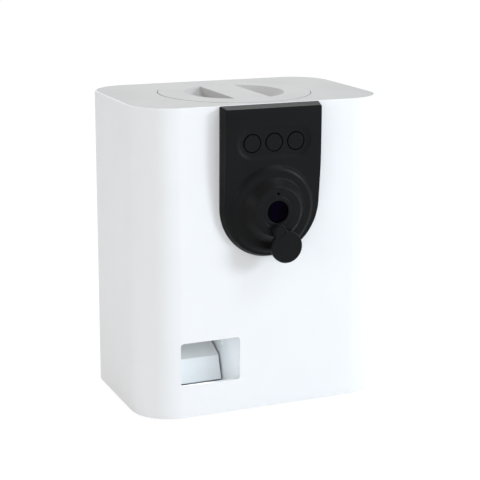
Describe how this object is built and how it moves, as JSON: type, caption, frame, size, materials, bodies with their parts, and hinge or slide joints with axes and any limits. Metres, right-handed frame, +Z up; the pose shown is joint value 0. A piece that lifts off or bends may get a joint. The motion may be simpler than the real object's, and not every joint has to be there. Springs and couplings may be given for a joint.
{
  "type": "treat-tossing pet feeder with camera",
  "caption": "Upright rounded box that tosses pet treats from a low window, with a lift-off round lid, a black camera panel, push buttons and a swivel lens cover.",
  "frame": {"origin": "middle of the housing's footprint, on the floor under the rubber feet", "axes": "+X to the right seen from the front, -Y out of the front, +Z up"},
  "size_m": [0.16, 0.1258, 0.19],
  "materials": {
    "white_plastic": "satin moulded",
    "grey_plastic": "fine satin",
    "inner_plastic": "as moulded",
    "black_plastic": "semi-gloss",
    "foot_rubber": "matt",
    "silicone": "matt",
    "vane_rubber": "matt",
    "steel": "zinc plated",
    "bronze": "sintered",
    "brass": "machined",
    "gear_plastic": "moulded",
    "motor_metal": "plated can",
    "servo_plastic": "moulded",
    "circuit_board": "solder mask",
    "chip_plastic": "matt",
    "lens_glass": "coated",
    "ribbon": "film",
    "cable": "insulated"
  },
  "bodies": {
    "housing": {"housing_shell": "white_plastic", "base_plate": "inner_plastic", "rubber_feet": "foot_rubber", "base_screws": "steel", "top_cover": "grey_plastic", "cover_screws": "steel", "hopper": "inner_plastic", "rotor_housing": "inner_plastic", "housing_screws": "steel", "rotor_bushes": "bronze", "gearbox": "motor_metal", "motor": "motor_metal", "motor_bracket": "steel", "bracket_screws": "steel", "motor_screws": "steel", "chute": "white_plastic", "chute_screws": "steel", "servo": "servo_plastic", "servo_screws": "steel", "drop_sensors": "white_plastic", "front_panel": "black_plastic", "panel_screws": "steel", "button_board": "circuit_board", "tact_switches": "chip_plastic", "button_board_screws": "steel", "lens_window": "lens_glass", "lens_barrel": "black_plastic", "front_lens": "lens_glass", "camera_board": "circuit_board", "camera_screws": "steel", "microphone": "steel", "cover_pin": "black_plastic", "cover_clip": "steel", "main_board": "circuit_board", "board_parts": "chip_plastic", "board_screws": "steel", "speaker": "chip_plastic", "speaker_magnet": "steel", "speaker_screws": "steel", "power_jack": "black_plastic", "jack_nut": "steel", "camera_ribbon": "ribbon", "motor_leads": "cable", "servo_lead": "cable", "speaker_leads": "cable"},
    "lid": {"lid": "grey_plastic", "lid_seal": "silicone"},
    "lens_cover": {"lens_cover": "black_plastic"},
    "button_left": {"button_left": "black_plastic"},
    "button_middle": {"button_middle": "black_plastic"},
    "button_right": {"button_right": "black_plastic"},
    "rotor": {"rotor": "vane_rubber", "rotor_shaft": "steel", "rotor_gear": "gear_plastic", "shaft_clip": "steel"},
    "motor_pinion": {"motor_pinion": "brass", "motor_shaft": "steel"},
    "kicker": {"kicker": "white_plastic", "kicker_axle": "steel", "servo_horn": "white_plastic"}
  },
  "joints": [
    {"name": "lid_lift", "type": "slide", "parent": "housing", "child": "lid", "axis": [0, 0, 1], "range_m": [0, 0.06]},
    {"name": "lens_cover_swivel", "type": "hinge", "parent": "housing", "child": "lens_cover", "pos_m": [0, -0.0695, 0.1164], "axis": [0, -1, 0], "range_deg": [-25, 155]},
    {"name": "button_left_press", "type": "slide", "parent": "housing", "child": "button_left", "axis": [0, 1, 0], "range_m": [0, 0.0006], "stiffness_N_per_m": 1500, "springref_m": -0.0005},
    {"name": "button_middle_press", "type": "slide", "parent": "housing", "child": "button_middle", "axis": [0, 1, 0], "range_m": [0, 0.0006], "stiffness_N_per_m": 1500, "springref_m": -0.0005},
    {"name": "button_right_press", "type": "slide", "parent": "housing", "child": "button_right", "axis": [0, 1, 0], "range_m": [0, 0.0006], "stiffness_N_per_m": 1500, "springref_m": -0.0005},
    {"name": "rotor_spin", "type": "hinge", "parent": "housing", "child": "rotor", "pos_m": [-0.0375, -0.008, 0.088], "axis": [1, 0, 0], "continuous": true},
    {"name": "pinion_spin", "type": "hinge", "parent": "housing", "child": "motor_pinion", "pos_m": [-0.0116, 0.0172, 0.088], "axis": [1, 0, 0], "continuous": true},
    {"name": "kicker_swing", "type": "hinge", "parent": "housing", "child": "kicker", "pos_m": [-0.0375, 0.002, 0.0375], "axis": [-1, 0, 0], "range_deg": [0, 50]}
  ],
  "couplings": [
    {"joint": "pinion_spin", "follows": "rotor_spin", "ratio": -3}
  ]
}
